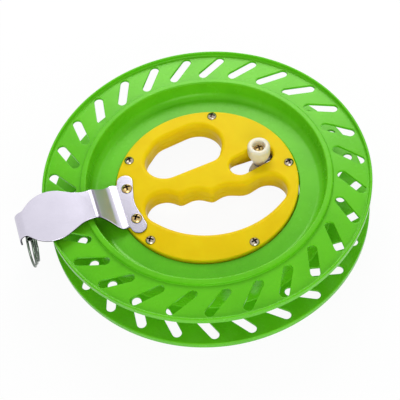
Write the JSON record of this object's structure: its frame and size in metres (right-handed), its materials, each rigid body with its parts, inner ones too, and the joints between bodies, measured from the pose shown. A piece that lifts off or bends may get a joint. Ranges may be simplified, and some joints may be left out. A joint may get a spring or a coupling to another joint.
{
  "type": "fishing line winder",
  "caption": "Hand-held line winder: a slotted, flanged wheel spins on ball bearings round a hand grip with a sliding lock knob and a steel line guide with a coiled wire eyelet.",
  "frame": {"origin": "on the wheel axis, in the plane of the rear rim that it rests on", "axes": "+Z along the wheel axis out of the front face, +X away from the line guide's side, +Y towards the thumb hole"},
  "size_m": [0.2385, 0.22, 0.04],
  "materials": {
    "wheel_plastic": "smooth moulded, light green",
    "grip_plastic": "smooth moulded, yellow",
    "guide_steel": "satin",
    "wire_chrome": "bright",
    "screw_nickel": "bright nickel",
    "screw_brass": "bright, yellow zinc",
    "bearing_steel": "ground",
    "sleeve_alloy": "turned",
    "knob_nylon": "translucent white",
    "bolt_steel": "stamped"
  },
  "bodies": {
    "grip": {"grip_front_shell": "grip_plastic", "grip_rear_shell": "grip_plastic", "grip_screws": "screw_nickel", "bearing_sleeves": "sleeve_alloy", "bearing_inner_rings": "bearing_steel", "line_guide": "guide_steel", "guide_screws": "screw_brass", "guide_nuts": "screw_brass", "eyelet_ferrule": "wire_chrome", "line_eyelet": "wire_chrome"},
    "wheel": {"wheel_front_half": "wheel_plastic", "wheel_rear_half": "wheel_plastic", "wheel_screws": "screw_nickel"},
    "lock": {"lock_knob_front": "knob_nylon", "lock_knob_rear": "knob_nylon", "lock_bolt": "bolt_steel", "lock_screw": "screw_brass", "lock_nut": "screw_brass"},
    "bearing_1": {"bearing_ring_1": "bearing_steel"},
    "balls_1": {"ball_set_1": "bearing_steel"},
    "bearing_2": {"bearing_ring_2": "bearing_steel"},
    "balls_2": {"ball_set_2": "bearing_steel"},
    "bearing_3": {"bearing_ring_3": "bearing_steel"},
    "balls_3": {"ball_set_3": "bearing_steel"},
    "bearing_4": {"bearing_ring_4": "bearing_steel"},
    "balls_4": {"ball_set_4": "bearing_steel"},
    "bearing_5": {"bearing_ring_5": "bearing_steel"},
    "balls_5": {"ball_set_5": "bearing_steel"}
  },
  "joints": [
    {"name": "wheel_spin", "type": "hinge", "parent": "grip", "child": "wheel", "pos_m": [0, 0, 0.0185], "axis": [0, 0, 1], "continuous": true},
    {"name": "bearing_spin_1", "type": "hinge", "parent": "grip", "child": "bearing_1", "pos_m": [0.05697, 0.00913, 0.0185], "axis": [0, 0, 1], "continuous": true},
    {"name": "balls_spin_1", "type": "hinge", "parent": "grip", "child": "balls_1", "pos_m": [0.05697, 0.00913, 0.0185], "axis": [0, 0, 1], "continuous": true},
    {"name": "bearing_spin_2", "type": "hinge", "parent": "grip", "child": "bearing_2", "pos_m": [0.00893, 0.05701, 0.0185], "axis": [0, 0, 1], "continuous": true},
    {"name": "balls_spin_2", "type": "hinge", "parent": "grip", "child": "balls_2", "pos_m": [0.00893, 0.05701, 0.0185], "axis": [0, 0, 1], "continuous": true},
    {"name": "bearing_spin_3", "type": "hinge", "parent": "grip", "child": "bearing_3", "pos_m": [-0.05146, 0.0261, 0.0185], "axis": [0, 0, 1], "continuous": true},
    {"name": "balls_spin_3", "type": "hinge", "parent": "grip", "child": "balls_3", "pos_m": [-0.05146, 0.0261, 0.0185], "axis": [0, 0, 1], "continuous": true},
    {"name": "bearing_spin_4", "type": "hinge", "parent": "grip", "child": "bearing_4", "pos_m": [-0.04073, -0.04087, 0.0185], "axis": [0, 0, 1], "continuous": true},
    {"name": "balls_spin_4", "type": "hinge", "parent": "grip", "child": "balls_4", "pos_m": [-0.04073, -0.04087, 0.0185], "axis": [0, 0, 1], "continuous": true},
    {"name": "bearing_spin_5", "type": "hinge", "parent": "grip", "child": "bearing_5", "pos_m": [0.02628, -0.05137, 0.0185], "axis": [0, 0, 1], "continuous": true},
    {"name": "balls_spin_5", "type": "hinge", "parent": "grip", "child": "balls_5", "pos_m": [0.02628, -0.05137, 0.0185], "axis": [0, 0, 1], "continuous": true},
    {"name": "lock_slide", "type": "slide", "parent": "grip", "child": "lock", "axis": [0.9018, 0.4321, 0], "range_m": [-0.0155, 0.0026]}
  ],
  "couplings": [
    {"joint": "bearing_spin_1", "follows": "wheel_spin", "ratio": 7.7941},
    {"joint": "balls_spin_1", "follows": "wheel_spin", "ratio": 5.0831},
    {"joint": "bearing_spin_2", "follows": "wheel_spin", "ratio": 7.7941},
    {"joint": "balls_spin_2", "follows": "wheel_spin", "ratio": 5.0831},
    {"joint": "bearing_spin_3", "follows": "wheel_spin", "ratio": 7.7941},
    {"joint": "balls_spin_3", "follows": "wheel_spin", "ratio": 5.0831},
    {"joint": "bearing_spin_4", "follows": "wheel_spin", "ratio": 7.7941},
    {"joint": "balls_spin_4", "follows": "wheel_spin", "ratio": 5.0831},
    {"joint": "bearing_spin_5", "follows": "wheel_spin", "ratio": 7.7941},
    {"joint": "balls_spin_5", "follows": "wheel_spin", "ratio": 5.0831}
  ]
}
